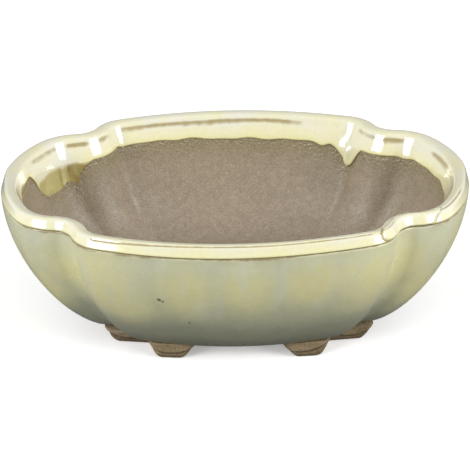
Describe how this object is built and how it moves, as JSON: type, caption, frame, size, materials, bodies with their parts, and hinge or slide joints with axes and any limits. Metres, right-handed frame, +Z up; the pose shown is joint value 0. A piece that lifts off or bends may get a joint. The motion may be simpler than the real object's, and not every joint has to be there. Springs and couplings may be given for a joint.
{
  "type": "bonsai pot",
  "caption": "Shallow four-lobed stoneware bonsai pot on notched bracket feet, glazed pale celadon outside and over the lip, bare clay inside.",
  "frame": {"origin": "on the surface the feet stand on, under the middle of the pot", "axes": "+X along the longer axis, to the right seen from the front; -Y towards the front; +Z up"},
  "size_m": [0.16, 0.111, 0.0525],
  "materials": {
    "body_clay": "unglazed stoneware, fine grain, matt",
    "foot_clay": "unglazed toasted stoneware, rough",
    "celadon_glaze": "satin gloss, pale grey green mottled with yellow",
    "ivory_glaze": "gloss, ivory pooling to yellow olive at its lower edge"
  },
  "bodies": {
    "root": {"floor_slab": "body_clay", "pot_wall": "body_clay", "rim_lip": "body_clay", "outer_glaze": "celadon_glaze", "rim_glaze": "ivory_glaze", "foot_front_left": "foot_clay", "foot_front_right": "foot_clay", "foot_rear_left": "foot_clay", "foot_rear_right": "foot_clay"}
  },
  "joints": []
}
